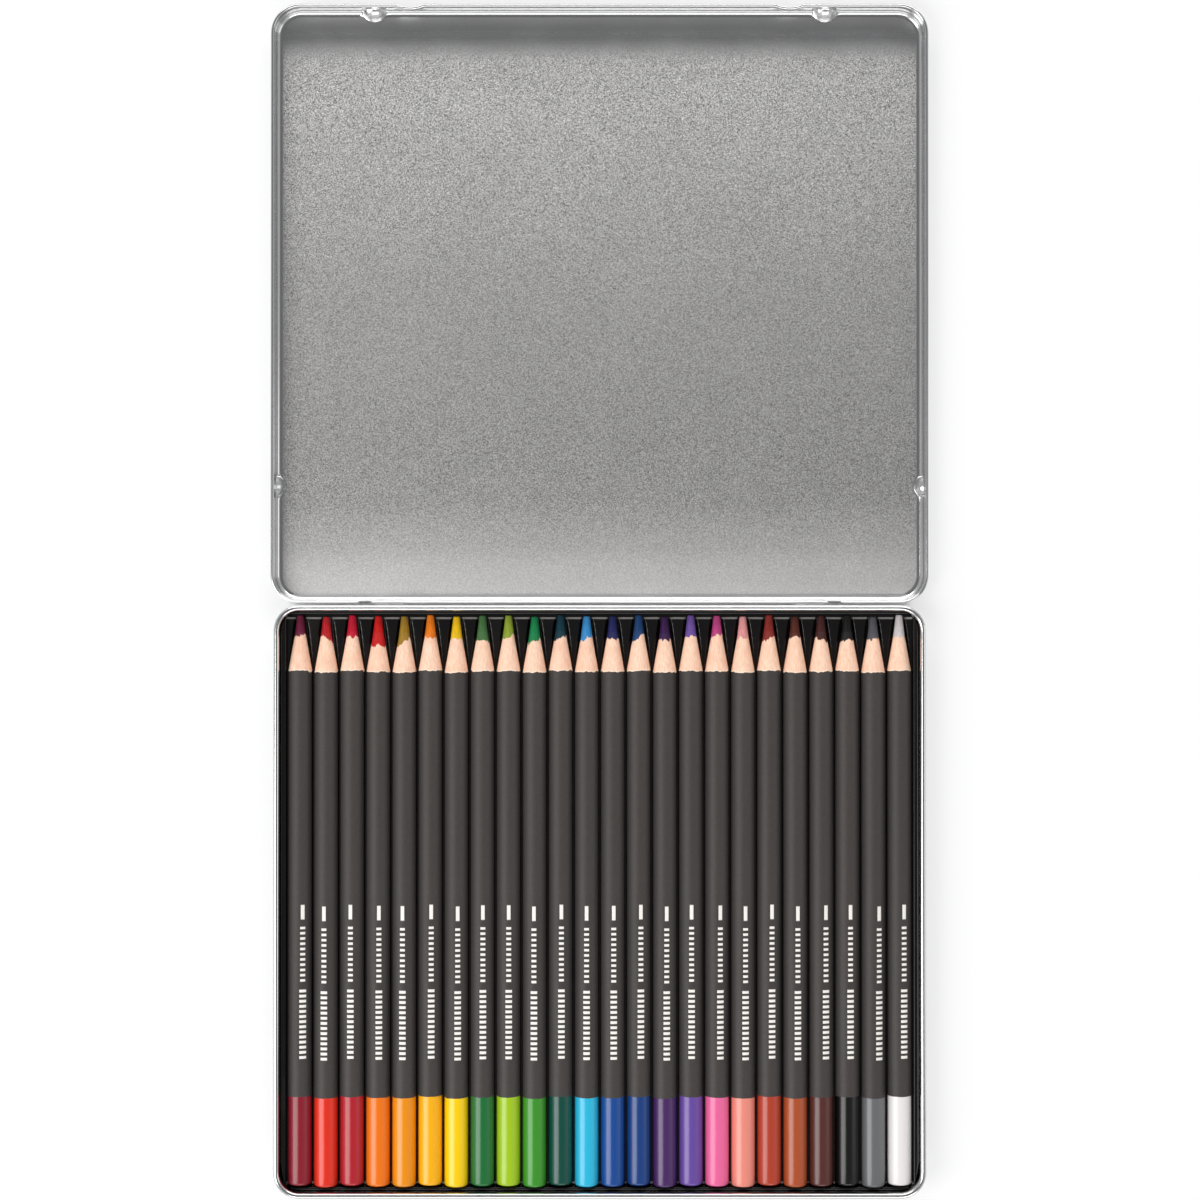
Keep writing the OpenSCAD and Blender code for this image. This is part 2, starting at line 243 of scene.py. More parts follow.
def group(name, kind, inputs, outputs):
    """An empty node group with its named sockets."""
    tree = bpy.data.node_groups.new(name, kind)
    for label, socket, value in inputs:
        made = tree.interface.new_socket(label, in_out="INPUT", socket_type=socket)
        if value is not None:
            made.default_value = value
    for label, socket in outputs:
        tree.interface.new_socket(label, in_out="OUTPUT", socket_type=socket)
    return tree, tree.nodes.new("NodeGroupInput").outputs, tree.nodes.new("NodeGroupOutput").inputs


FLOAT = "NodeSocketFloat"
VECTOR = "NodeSocketVector"
COLOUR = "NodeSocketColor"
GEOMETRY = "NodeSocketGeometry"
MATERIAL = "NodeSocketMaterial"
WHOLE = "NodeSocketInt"


CLOUDS_PER_METRE = 28.0
SCRATCHES_PER_METRE = (900.0, 25.0, 25.0)


def make_grain():
    """Fine sparkling grain over soft clouds, as on rolled and tinned sheet."""
    tree, given, gives = group(
        "tinplate_grain", "ShaderNodeTree",
        [("Vector", VECTOR, None), ("Grain size", FLOAT, 0.0005), ("Depth", FLOAT, 0.2),
         ("Cloud", FLOAT, 0.05), ("Seed", FLOAT, 0.0)],
        [("Shade", FLOAT), ("Height", FLOAT)])
    scale = calc(tree, "DIVIDE", 1.0, given["Grain size"])
    fine = noise(tree, given["Vector"], given["Seed"], scale, roughness=0.65)
    cloud = noise(tree, given["Vector"], given["Seed"], CLOUDS_PER_METRE, detail=3.0)
    speck = put(tree, "ShaderNodeTexVoronoi", {"Vector": given["Vector"], "Scale": scale, "Randomness": 1.0})
    dot = put(tree, "ShaderNodeSeparateColor", {0: speck.outputs["Color"]}).outputs[0]
    both = plus(tree, times(tree, fine, 0.7), times(tree, dot, 0.3))
    grain = times(tree, minus(tree, both, 0.5), given["Depth"])
    mist = times(tree, minus(tree, cloud, 0.5), given["Cloud"])
    shade = plus(tree, plus(tree, 1.0, grain), mist)
    tree.links.new(shade, gives["Shade"])
    tree.links.new(fine, gives["Height"])
    return tree


def make_handling():
    """Where a finish has been touched: faint smudges and a few fine scratches."""
    tree, given, gives = group(
        "handling_marks", "ShaderNodeTree",
        [("Vector", VECTOR, None), ("Smudge size", FLOAT, 0.02), ("Seed", FLOAT, 0.0)],
        [("Smudge", FLOAT), ("Scratch", FLOAT)])
    scale = calc(tree, "DIVIDE", 1.0, given["Smudge size"])
    smudge = noise(tree, given["Vector"], given["Seed"], scale, detail=4.0, distortion=0.4)
    drawn_out = put(tree, "ShaderNodeMapping", {
        "Vector": given["Vector"], "Rotation": (0.0, 0.0, 0.35), "Scale": SCRATCHES_PER_METRE})
    lines = noise(tree, drawn_out.outputs[0], given["Seed"], 1.0, detail=1.0)
    tree.links.new(soft_step(tree, smudge, 0.42, 0.68), gives["Smudge"])
    tree.links.new(soft_step(tree, lines, 0.70, 0.80), gives["Scratch"])
    return tree


GRAIN = make_grain()
HANDLING = make_handling()

# Finishes

GRAIN_SIZE = 0.15
GRAIN_DEPTH = 6.0
PLAIN_GRAININESS = 0.8
RIM_ROUGHNESS = 0.15
HINGE_ROUGHNESS = 0.38
SCRATCHED = 0.08
BRIGHT_TIN = "ffffff"
# Painted highlight on the rims along the hinge
HINGE_HIGHLIGHT_TIN = "f0f0f0"
PLASTIC = "0a0706"
DUSTY_PLASTIC = "17110f"
# Painted highlight on the ends of the tray's ridges
RIDGE_END_HIGHLIGHT = "a5a09d"
WOOD = "fbd8c0"
WOOD_LINES = "f0bfa1"
WARM_WOOD = "ecb395"
FRESH_CUT = "ffe6d0"
WOOD_ROUGHNESS = 0.62
LACQUER = "3d3937"
LACQUER_ROUGHNESS = 0.5
DIP_SHADE = "f3f3f3"
DIP_ROUGHNESS = 0.24
FOIL = "efeae4"
DASH_BLUR = 0.08

# Rows of foil dashes: start and end from the tip, pitch, filled share and half width
FOIL_ROWS = [
    (88.4, 93.2, 4.8, 1.0, 0.55),
    (95.2, 112.8, 1.6, 0.55, 0.75),
    (114.4, 136.2, 1.56, 0.62, 1.0),
]

# The lid's plate: distance from the hinge, shade, graininess and smoothness. The shade is painted light and
# shade: lighter near the hinge, a darker band near the far wall
LID_PAINTED_LIGHT_ZONES = [
    (2.0, 1.70, 0.20, 0.0), (8.0, 1.50, 0.24, 0.0), (16.0, 1.14, 0.40, 0.0), (31.0, 0.88, 0.78, 0.0),
    (46.0, 0.85, 0.82, 0.0), (75.0, 0.91, 0.68, 0.0), (93.0, 0.93, 0.72, 0.0), (124.0, 1.03, 0.95, 0.0),
    (155.0, 1.13, 1.10, 0.0), (167.0, 1.08, 1.05, 0.05), (171.0, 0.90, 0.70, 0.45), (174.5, 0.75, 0.30, 0.80),
    (180.0, 1.2, 0.20, 0.55),
]


def start_material(name):
    made = bpy.data.materials.new(name)
    made.use_nodes = True
    tree = made.node_tree
    tree.nodes.clear()
    shader = tree.nodes.new("ShaderNodeBsdfPrincipled")
    output = tree.nodes.new("ShaderNodeOutputMaterial")
    tree.links.new(shader.outputs[0], output.inputs[0])
    return made, tree, shader


def place_of(tree):
    return tree.nodes.new("ShaderNodeTexCoord").outputs["Object"]


def attribute(tree, name, output="Fac"):
    return put(tree, "ShaderNodeAttribute", attribute_name=name).outputs[output]


def relief(tree, shader, height, strength, distance):
    """Raises and lowers the surface with a height that changes over it."""
    bump = put(tree, "ShaderNodeBump", {"Height": height, "Strength": strength, "Distance": distance * MM})
    tree.links.new(bump.outputs[0], shader.inputs["Normal"])


def plate_zones_and_painted_light(tree, place, zones):
    """Painted light and shade, graininess and smoothness of a pressed plate, which change with the distance
    from the hinge.
    """
    from_wall = minus(tree, axes_of(tree, place)[1], (HINGE_Y + LID_BEAD_R) * MM)
    share = calc(tree, "DIVIDE", from_wall, LID_L * MM)
    ramp = put(tree, "ShaderNodeValToRGB", {0: share})
    stops = ramp.color_ramp.elements
    for from_hinge, *_ in zones[1:-1]:
        stops.new(from_hinge / LID_L)
    for stop, (from_hinge, shade, graininess, smoothness) in zip(stops, zones):
        stop.position = from_hinge / LID_L
        stop.color = (shade / 2, graininess, smoothness, 1.0)
    read = put(tree, "ShaderNodeSeparateColor", {0: ramp.outputs[0]})
    inside = minus(tree, 1.0, attribute(tree, "skin"))
    shade = blend(tree, inside, 1.0, times(tree, read.outputs[0], 2.0))
    graininess = blend(tree, inside, PLAIN_GRAININESS, read.outputs[1])
    return shade, graininess, times(tree, read.outputs[2], inside)


def hinge_highlight_side(tree, place):
    """1 on the edges of both pans along the hinge, which look whiter and softer in the photograph: the whiter
    tint there is a painted highlight.
    """
    y = axes_of(tree, place)[1]
    behind_base = soft_step(tree, y, (BASE_L / 2 + 0.6) * MM, (BASE_L / 2 + 1.1) * MM)
    before_plate = soft_step(tree, y, (HINGE_Y + 2.2) * MM, (HINGE_Y + 3.0) * MM, 1.0, 0.0)
    return times(tree, behind_base, before_plate)


def tinplate(name, tint, rim_tint, roughness, seed, zones=None):
    """Tinned sheet: grainy and satin on the plate, smoother on the drawn walls and rolled rim."""
    made, tree, shader = start_material(name)
    place = place_of(tree)
    shade, graininess, smoothness = 1.0, PLAIN_GRAININESS, 0.0
    if zones:
        shade, graininess, smoothness = plate_zones_and_painted_light(tree, place, zones)
    by_hinge = hinge_highlight_side(tree, place)
    rim = larger(tree, attribute(tree, "rim"), larger(tree, smoothness, by_hinge))
    grain = put(tree, "ShaderNodeGroup", {
        "Vector": place, "Grain size": GRAIN_SIZE * MM, "Depth": times(tree, graininess, GRAIN_DEPTH),
        "Cloud": 0.10, "Seed": seed}, node_tree=GRAIN).outputs
    handling = put(tree, "ShaderNodeGroup", {"Vector": place, "Seed": seed}, node_tree=HANDLING).outputs
    # The zones' shade paints light and shade on the plate: lighter by the hinge, darker near the far wall.
    plate = shaded(tree, colour(tint), times(tree, grain["Shade"], shade))
    # The hinge side's whiter tint is a painted highlight.
    rolled = mix_colour(tree, by_hinge, colour(rim_tint), colour(HINGE_HIGHLIGHT_TIN))
    scratched = times(tree, handling["Scratch"], minus(tree, SCRATCHED, times(tree, rim, SCRATCHED)))
    worn = mix_colour(tree, scratched, mix_colour(tree, rim, plate, rolled), colour(BRIGHT_TIN))
    tree.links.new(worn, shader.inputs["Base Color"])
    satin = blend(tree, rim, roughness, blend(tree, by_hinge, RIM_ROUGHNESS, HINGE_ROUGHNESS))
    smudged = plus(tree, satin, times(tree, handling["Smudge"], 0.03))
    tree.links.new(smudged, shader.inputs["Roughness"])
    shader.inputs["Metallic"].default_value = 1.0
    relief(tree, shader, times(tree, grain["Height"], minus(tree, 1.0, rim)), 0.15, 0.04)
    return made


def moulded_black(name):
    """Thin vacuum-formed plastic: black, glossy, a little uneven, with a painted grey highlight on the ends
    of the ridges.
    """
    made, tree, shader = start_material(name)
    place = place_of(tree)
    handling = put(tree, "ShaderNodeGroup", {"Vector": place, "Smudge size": 12 * MM}, node_tree=HANDLING)
    grain = put(tree, "ShaderNodeGroup", {
        "Vector": place, "Grain size": 0.9 * MM, "Depth": 0.25}, node_tree=GRAIN)
    smudge = handling.outputs["Smudge"]
    black = mix_colour(tree, times(tree, smudge, 0.25), colour(PLASTIC), colour(DUSTY_PLASTIC))
    # The ends of the ridges carry a painted grey highlight.
    highlighted = mix_colour(tree, attribute(tree, "ridge_end_highlight"), black, colour(RIDGE_END_HIGHLIGHT))
    tree.links.new(shaded(tree, highlighted, grain.outputs["Shade"]), shader.inputs["Base Color"])
    tree.links.new(plus(tree, 0.14, times(tree, smudge, 0.10)), shader.inputs["Roughness"])
    relief(tree, shader, grain.outputs["Height"], 0.1, 0.05)
    return made


def make_pencil_places():
    """Where a point lies on its pencil, in millimetres: across, along from the tip, and a wavy along."""
    tree, given, gives = group(
        "pencil_places", "ShaderNodeTree",
        [("Wave", FLOAT, 0.4), ("Wave size", FLOAT, 0.35), ("Wave detail", FLOAT, 1.5)],
        [("Across", FLOAT), ("Along", FLOAT), ("Wavy", FLOAT), ("Place", VECTOR), ("Seed", FLOAT)])
    place = attribute(tree, "turned", "Vector")
    seed = attribute(tree, "seed")
    across, along, _ = axes_of(tree, place)
    around = put(tree, "ShaderNodeVectorMath", {0: place, 1: (1.0, 0.06, 1.0)}, operation="MULTIPLY")
    wave = noise(tree, around.outputs[0], seed, given["Wave size"], given["Wave detail"], 0.6)
    swing = times(tree, minus(tree, wave, 0.5), given["Wave"])
    tree.links.new(across, gives["Across"])
    tree.links.new(along, gives["Along"])
    tree.links.new(plus(tree, along, swing), gives["Wavy"])
    tree.links.new(place, gives["Place"])
    tree.links.new(seed, gives["Seed"])
    return tree


PENCIL_PLACES = make_pencil_places()


def pencil_places(tree, wave=0.4, size=0.35, detail=1.5):
    values = {"Wave": wave, "Wave size": size, "Wave detail": detail}
    return put(tree, "ShaderNodeGroup", values, node_tree=PENCIL_PLACES).outputs


def lengthwise(tree, places, across, along, detail, roughness):
    """Lines drawn out along the pencil, with so many waves in a millimetre across and along it."""
    drawn_out = put(tree, "ShaderNodeMapping", {"Vector": places["Place"], "Scale": (across, along, across)})
    return noise(tree, drawn_out.outputs[0], places["Seed"], 1.0, detail, roughness)


def core_colour(tree, places):
    """Waxy core: its own paint with faint cutter lines along it."""
    lines = lengthwise(tree, places, 4.0, 0.35, 3.0, 0.5)
    shade = soft_step(tree, lines, 0.3, 0.75, 0.72, 1.02)
    return shaded(tree, attribute(tree, "core_paint", "Color"), shade), lines


def core_material():
    """The bare core that sticks out of the wood."""
    made, tree, shader = start_material("core_wax")
    paint, lines = core_colour(tree, pencil_places(tree))
    tree.links.new(paint, shader.inputs["Base Color"])
    shader.inputs["Roughness"].default_value = 0.5
    shader.inputs["Specular IOR Level"].default_value = 0.2
    relief(tree, shader, lines, 0.25, 0.1)
    return made


def wood_colour(tree, places):
    """Cedar cut across its grain by the sharpener: fine lengthwise lines, warmer in places."""
    lines = lengthwise(tree, places, 3.4, 0.22, 4.0, 0.6)
    broad = noise(tree, places["Place"], places["Seed"], 0.16)
    pale = mix_colour(tree, soft_step(tree, lines, 0.35, 0.68), colour(WOOD), colour(WOOD_LINES))
    warm = mix_colour(tree, soft_step(tree, broad, 0.45, 0.75, 0.0, 0.5), pale, colour(WARM_WOOD))
    return warm, lines


def foil_mask(tree, places, print_place):
    """Plain rows of foil dashes on top of the pencil."""
    across = calc(tree, "ABSOLUTE", minus(tree, places["Across"], print_place))
    along = places["Along"]
    rows = 0.0
    for start, end, pitch, filled, half_width in FOIL_ROWS:
        beat = calc(tree, "FRACT", calc(tree, "DIVIDE", minus(tree, along, start), pitch))
        begun = soft_step(tree, beat, 0.0, DASH_BLUR)
        unfinished = soft_step(tree, beat, filled - DASH_BLUR, filled, 1.0, 0.0)
        within = soft_step(tree, across, half_width - 0.06, half_width + 0.06, 1.0, 0.0)
        in_row = times(tree, calc(tree, "GREATER_THAN", along, start), calc(tree, "LESS_THAN", along, end))
        dashes = times(tree, times(tree, begun, unfinished), times(tree, within, in_row))
        rows = larger(tree, rows, dashes)
    upward = axes_of(tree, places["Place"])[2]
    return times(tree, rows, soft_step(tree, upward, 0.5, 1.0))


def casing_material():
    """Wood cone, matte lacquer and glossy dip on one turned casing, with hand-dipped edges."""
    made, tree, shader = start_material("pencil_casing")
    places = pencil_places(tree, 1.6, 0.55)
    level = pencil_places(tree, 0.5, 0.3)
    jagged = pencil_places(tree, 5.5, 0.6, 5.0)
    core_shown, lean, print_place = axes_of(tree, attribute(tree, "marks", "Vector"))
    past_core = minus(tree, plus(tree, jagged["Wavy"], times(tree, lean, places["Across"])), core_shown)
    waxed = soft_step(tree, past_core, -0.08, 0.08, 1.0, 0.0)
    painted = soft_step(tree, places["Wavy"], POINT_LEN + 0.02, POINT_LEN + 0.12)
    dip_start = PENCIL_LEN - DIP_LEN
    dipped = soft_step(tree, level["Wavy"], dip_start - 0.05, dip_start + 0.05)

    wood, fibres = wood_colour(tree, places)
    core, _ = core_colour(tree, places)
    cut_edge = soft_step(tree, places["Wavy"], POINT_LEN - 0.5, POINT_LEN, 0.0, 0.7)
    cone = mix_colour(tree, waxed, mix_colour(tree, cut_edge, wood, colour(FRESH_CUT)), core)
    speck = put(tree, "ShaderNodeGroup", {
        "Vector": places["Place"], "Grain size": 0.7, "Depth": 0.35, "Cloud": 0.1}, node_tree=GRAIN)
    lacquer = shaded(tree, colour(LACQUER), speck.outputs["Shade"])
    printed = mix_colour(tree, foil_mask(tree, places, print_place), lacquer, colour(FOIL))
    dip = shaded(tree, attribute(tree, "dip_paint", "Color"), colour(DIP_SHADE))
    skin = mix_colour(tree, dipped, mix_colour(tree, painted, cone, printed), dip)
    tree.links.new(skin, shader.inputs["Base Color"])

    rough = blend(tree, dipped, blend(tree, painted, WOOD_ROUGHNESS, LACQUER_ROUGHNESS), DIP_ROUGHNESS)
    tree.links.new(rough, shader.inputs["Roughness"])
    shader.inputs["Specular IOR Level"].default_value = 0.35
    tree.links.new(times(tree, dipped, 0.4), shader.inputs["Coat Weight"])
    shader.inputs["Coat Roughness"].default_value = 0.2
    fibre_height = times(tree, fibres, minus(tree, 1.0, painted))
    paint_height = plus(tree, times(tree, painted, 0.9), times(tree, dipped, 0.5))
    relief(tree, shader, plus(tree, fibre_height, paint_height), 0.3, 0.1)
    return made


TINPLATE_LID = tinplate("tinplate_lid", "aeadac", "d4d4d4", 0.58, 1.0, LID_PAINTED_LIGHT_ZONES)
TINPLATE_BASE = tinplate("tinplate_base", "c4c3bf", "d8d8d8", 0.45, 5.0)
TRAY_PLASTIC = moulded_black("tray_plastic")
CORE_WAX = core_material()
CASING = casing_material()


# Meshes

def mesh_object(name, points, faces=(), edges=()):
    mesh = bpy.data.meshes.new(name)
    mesh.from_pydata([Vector(p) * MM for p in points], edges, faces)
    made = bpy.data.objects.new(name, mesh)
    bpy.context.scene.collection.objects.link(made)
    return made


def outline_object(name, points, rims=None):
    """A section as a line of edges, with the share of rolled rim at each point."""
    edges = [(k, k + 1) for k in range(len(points) - 1)]
    made = mesh_object(name, [(x, y, 0.0) for x, y in points], edges=edges)
    if rims:
        field = made.data.attributes.new("rim", "FLOAT", "POINT")
        field.data.foreach_set("value", rims)
    return made


def arc(cx, cy, r, start, end, steps):
    turn = [math.radians(start + (end - start) * k / steps) for k in range(steps + 1)]
    return [(cx + r * math.cos(a), cy + r * math.sin(a)) for a in turn]


def run(start, end, steps):
    """The points between two others, without the ends."""
    share = [k / steps for k in range(1, steps)]
    return [(start[0] + (end[0] - start[0]) * t, start[1] + (end[1] - start[1]) * t) for t in share]


def finished(tree, shape, material):
    """The end of both trees: real geometry with its material on it."""
    real = put(tree, "GeometryNodeRealizeInstances", {"Geometry": shape}).outputs[0]
    return put(tree, "GeometryNodeSetMaterial", {"Geometry": real, "Material": material}).outputs[0]


def sweep_tree():
    """Carries a section round a rounded rectangle. The section's x points outward."""
    tree, given, gives = group(
        "wall_round_a_tin", "GeometryNodeTree",
        [("Section", GEOMETRY, None), ("Width", FLOAT, 0.2), ("Length", FLOAT, 0.2),
         ("Corner radius", FLOAT, 0.006), ("Station", FLOAT, 0.001), ("Middle", VECTOR, None),
         ("Material", MATERIAL, None)],
        [("Wall", GEOMETRY)])
    turned_over = put(tree, "GeometryNodeTransform", {
        "Geometry": given["Section"], "Scale": (1.0, -1.0, 1.0)})
    section = put(tree, "GeometryNodeMeshToCurve", {"Mesh": turned_over.outputs[0]})
    path = put(tree, "GeometryNodeCurvePrimitiveQuadrilateral", {
        "Width": given["Width"], "Height": given["Length"]})
    rounded = put(tree, "GeometryNodeFilletCurve", {
        "Curve": path.outputs[0], "Radius": given["Corner radius"]}, mode="POLY")
    rounded.inputs["Count"].default_value = 24
    stations = put(tree, "GeometryNodeResampleCurve", {
        "Curve": rounded.outputs[0], "Length": given["Station"]}, mode="LENGTH")
    upright = put(tree, "GeometryNodeSetCurveNormal", {"Curve": stations.outputs[0]}, mode="Z_UP")
    wall = put(tree, "GeometryNodeCurveToMesh", {
        "Curve": upright.outputs[0], "Profile Curve": section.outputs[0]})
    moved = put(tree, "GeometryNodeSetPosition", {"Geometry": wall.outputs[0], "Offset": given["Middle"]})
    tree.links.new(finished(tree, moved.outputs[0], given["Material"]), gives["Wall"])
    return tree


def turning_tree():
    """Turns an outline about its pencil's axis, keeps its places and paints, and lays it in its row."""
    tree, given, gives = group(
        "turned_pencil", "GeometryNodeTree",
        [("Outline", GEOMETRY, None), ("Sides", WHOLE, 48), ("Row place", VECTOR, None), ("Seed", FLOAT, 0.0),
         ("Dip paint", COLOUR, None), ("Core paint", COLOUR, None), ("Marks", VECTOR, None),
         ("Material", MATERIAL, None)],
        [("Pencil", GEOMETRY)])
    outline = put(tree, "GeometryNodeMeshToCurve", {"Mesh": given["Outline"]})
    axis = put(tree, "GeometryNodeCurvePrimitiveCircle", {"Resolution": given["Sides"], "Radius": 1e-7})
    upright = put(tree, "GeometryNodeSetCurveNormal", {"Curve": axis.outputs[0]}, mode="Z_UP")
    turned = put(tree, "GeometryNodeCurveToMesh", {
        "Curve": upright.outputs[0], "Profile Curve": outline.outputs[0]})
    closed = put(tree, "GeometryNodeMergeByDistance", {"Geometry": turned.outputs[0], "Distance": 0.002 * MM})
    laid = put(tree, "GeometryNodeTransform", {
        "Geometry": closed.outputs[0], "Rotation": (math.radians(90), 0.0, 0.0)})
    place = tree.nodes.new("GeometryNodeInputPosition").outputs[0]
    place = put(tree, "ShaderNodeVectorMath", {0: place, 1: (1 / MM, -1 / MM, 1 / MM)}, operation="MULTIPLY")
    kept = laid.outputs[0]
    for name, value, kind in (
            ("turned", place.outputs[0], "FLOAT_VECTOR"),
            ("seed", given["Seed"], "FLOAT"),
            ("dip_paint", given["Dip paint"], "FLOAT_COLOR"),
            ("core_paint", given["Core paint"], "FLOAT_COLOR"),
            ("marks", given["Marks"], "FLOAT_VECTOR")):
        values = {"Geometry": kept, "Name": name, "Value": value}
        kept = put(tree, "GeometryNodeStoreNamedAttribute", values, data_type=kind).outputs[0]
    placed = put(tree, "GeometryNodeSetPosition", {"Geometry": kept, "Offset": given["Row place"]})
    tree.links.new(finished(tree, placed.outputs[0], given["Material"]), gives["Pencil"])
    return tree


def grow(source, tree, values, name):
    """Runs a tree on a source mesh and gives back a plain piece."""
    modifier = source.modifiers.new("grow", "NODES")
    modifier.node_group = tree
    sockets = {s.name: s.identifier for s in tree.interface.items_tree if s.in_out == "INPUT"}
    for label, value in values.items():
        modifier[sockets[label]] = value
    depsgraph = bpy.context.evaluated_depsgraph_get()
    mesh = bpy.data.meshes.new_from_object(source.evaluated_get(depsgraph), depsgraph=depsgraph)
    mesh.name = name
    made = bpy.data.objects.new(name, mesh)
    bpy.context.scene.collection.objects.link(made)
    bpy.data.objects.remove(source)
    return made


def edit(piece, *works):
    """Opens a piece's mesh, does the given work on it and leaves its faces pointing outwards."""
    bm = bmesh.new()
    bm.from_mesh(piece.data)
    for work in works:
        work(bm)
    bmesh.ops.remove_doubles(bm, verts=bm.verts, dist=1e-7)
    bmesh.ops.recalc_face_normals(bm, faces=bm.faces)
    if bm.calc_volume(signed=True) < 0:
        bmesh.ops.reverse_faces(bm, faces=bm.faces)
    bm.to_mesh(piece.data)
    bm.free()


def smooth(piece, angle=30):
    mesh = piece.data
    mesh.shade_smooth()
    mesh.set_sharp_from_angle(angle=math.radians(angle))


def fill_plates(bm):
    """Closes the open loops of a swept wall with one flat face each."""
    open_edges = [e for e in bm.edges if e.is_boundary]
    bmesh.ops.holes_fill(bm, edges=open_edges, sides=0)


def cut(piece, cutter):
    """Cuts one closed shape out of a piece."""
    modifier = piece.modifiers.new("cut", "BOOLEAN")
    modifier.operation = "DIFFERENCE"
    modifier.solver = "EXACT"
    modifier.object = cutter
    depsgraph = bpy.context.evaluated_depsgraph_get()
    mesh = bpy.data.meshes.new_from_object(piece.evaluated_get(depsgraph), depsgraph=depsgraph)
    piece.modifiers.remove(modifier)
    piece.data = mesh
    bpy.data.objects.remove(cutter)


def rim_shares(points, fillet, fade):
    """How far each point of a section belongs to the wall and rim: 1 on the wall, fading out on the plate."""
    return [min(1.0, max(0.0, 1.0 + (x + fillet) / fade)) for x, _ in points]


def wall_section(height, fillet, bead_r, plate_steps, wall_steps, fade):
    """Section of a drawn wall with its rolled rim, and how far each point belongs to the rim."""
    bead_z = height - bead_r
    curl_end = CURL_SLIT - 180
    inner = [(-fillet - s, SHEET) for s in reversed(plate_steps)]
    inner += arc(-fillet, SHEET + fillet, fillet, -90, 0, 8)
    inner += run((0, SHEET + fillet), (0, bead_z), wall_steps)
    rim = arc(bead_r, bead_z, bead_r, 180, curl_end, 24)
    rim += arc(bead_r, bead_z, bead_r - SHEET, curl_end, 180, 14)
    outer = run((SHEET, bead_z), (SHEET, SHEET + fillet), wall_steps)
    outer += arc(-fillet, SHEET + fillet, fillet + SHEET, 0, -90, 8)
    outer += [(-fillet - s, 0.0) for s in plate_steps]
    points = inner + rim + outer
    rims = rim_shares(inner, fillet, fade) + [1.0] * len(rim) + rim_shares(outer, fillet, fade)
    return points, rims


def box_shape(low, high):
    x0, y0, z0 = low
    x1, y1, z1 = high
    points = [(x0, y0, z0), (x1, y0, z0), (x1, y1, z0), (x0, y1, z0),
              (x0, y0, z1), (x1, y0, z1), (x1, y1, z1), (x0, y1, z1)]
    faces = [(3, 2, 1, 0), (4, 5, 6, 7), (0, 1, 5, 4), (1, 2, 6, 5), (2, 3, 7, 6), (3, 0, 4, 7)]
    return mesh_object("cutter", points, faces)


def prism(outline, z0, z1):
    count = len(outline)
    points = [(x, y, z0) for x, y in outline] + [(x, y, z1) for x, y in outline]
    faces = [tuple(reversed(range(count))), tuple(range(count, 2 * count))]
    faces += [(k, (k + 1) % count, count + (k + 1) % count, count + k) for k in range(count)]
    made = mesh_object("cutter", points, faces)
    edit(made)
    return made


def hook(side):
    """One hook: a flat tongue from the base's wall that curls over the lid's rim."""
    root_y = BASE_L / 2
    lower = [(root_y, HOOK_ROOT_Z)] + arc(HINGE_Y, HINGE_Z, HOOK_OUT_R, -90, HOOK_WRAP, 30)
    upper = arc(HINGE_Y, HINGE_Z, HOOK_IN_R, HOOK_WRAP, -90, 30) + [(root_y, HOOK_ROOT_Z + SHEET)]
    loop = lower + upper
    count = len(loop)
    start = side * (HOOK_X + HOOK_W / 2) - HOOK_W / 2
    stations = [0.0, 0.05, HOOK_W - 0.05, HOOK_W]
    points = [(start + x, y, z) for x in stations for y, z in loop]
    faces = []
    for s in range(len(stations) - 1):
        for k in range(count):
            a, b = s * count + k, s * count + (k + 1) % count
            faces.append((a, b, b + count, a + count))
    for s, flip in ((0, False), ((len(stations) - 1) * count, True)):
        for k in range(len(lower) - 1):
            quad = (s + k, s + k + 1, s + count - 2 - k, s + count - 1 - k)
            faces.append(tuple(reversed(quad)) if flip else quad)
    made = mesh_object(f"hinge_hook_{'left' if side < 0 else 'right'}", points, faces)
    made.data.attributes.new("rim", "FLOAT", "POINT").data.foreach_set("value", [1.0] * len(points))
    edit(made)
    smooth(made, 40)
    made.data.materials.append(TINPLATE_BASE)
    return made


def base_pan():
    """The base: a drawn pan with a thick rolled rim and the windows that its hooks were cut from."""
    points, rims = wall_section(BASE_H, BASE_FILLET, BASE_BEAD_R, [1.0, 3.0], 5, 3.0)
    source = outline_object("base_section", points, rims)
    piece = grow(source, SWEEP, {
        "Width": BASE_W * MM, "Length": BASE_L * MM, "Corner radius": BASE_CORNER * MM,
        "Station": 1.4 * MM, "Material": TINPLATE_BASE,
    }, "base_shell")
    edit(piece, fill_plates)
    for side in (-1, 1):
        x = side * (HOOK_X + HOOK_W / 2)
        low = (x - HOOK_W / 2, BASE_L / 2 - 1, WINDOW_Z)
        high = (x + HOOK_W / 2, BASE_L / 2 + 0.6, HOOK_ROOT_Z)
        cut(piece, box_shape(low, high))
    smooth(piece)
    return piece


def press_dents(bm):
    """Presses the two latch dents into the far rim, as balls that fade out down the wall."""
    depth = FRONT_GAP - LATCH_GAP
    ball = ((LATCH_W / 2) ** 2 + depth ** 2) / (2 * depth)
    far_wall = LID_Y + LID_L / 2
    bead_z = LID_DEPTH - LID_BEAD_R
    for v in bm.verts:
        x, y, z = v.co / MM
        if y < far_wall - 0.3:
            continue
        away = abs(abs(x) - LATCH_X)
        below = max(0.0, bead_z - LID_BEAD_R - z)
        reach = ball ** 2 - away ** 2 - below ** 2
        if reach > 0:
            v.co.y -= max(0.0, math.sqrt(reach) - (ball - depth)) * MM


def stop_ball(extra):
    """Radius of the ball that leaves the base's rim its gap when the tin is closed."""
    rim_x = -LID_GAP - BASE_BEAD_R
    rim_z = TIN_H - BASE_H + BASE_BEAD_R
    return math.hypot(STOP_OUT - rim_x + extra, rim_z - STOP_RISE) - BASE_BEAD_R - STOP_GAP


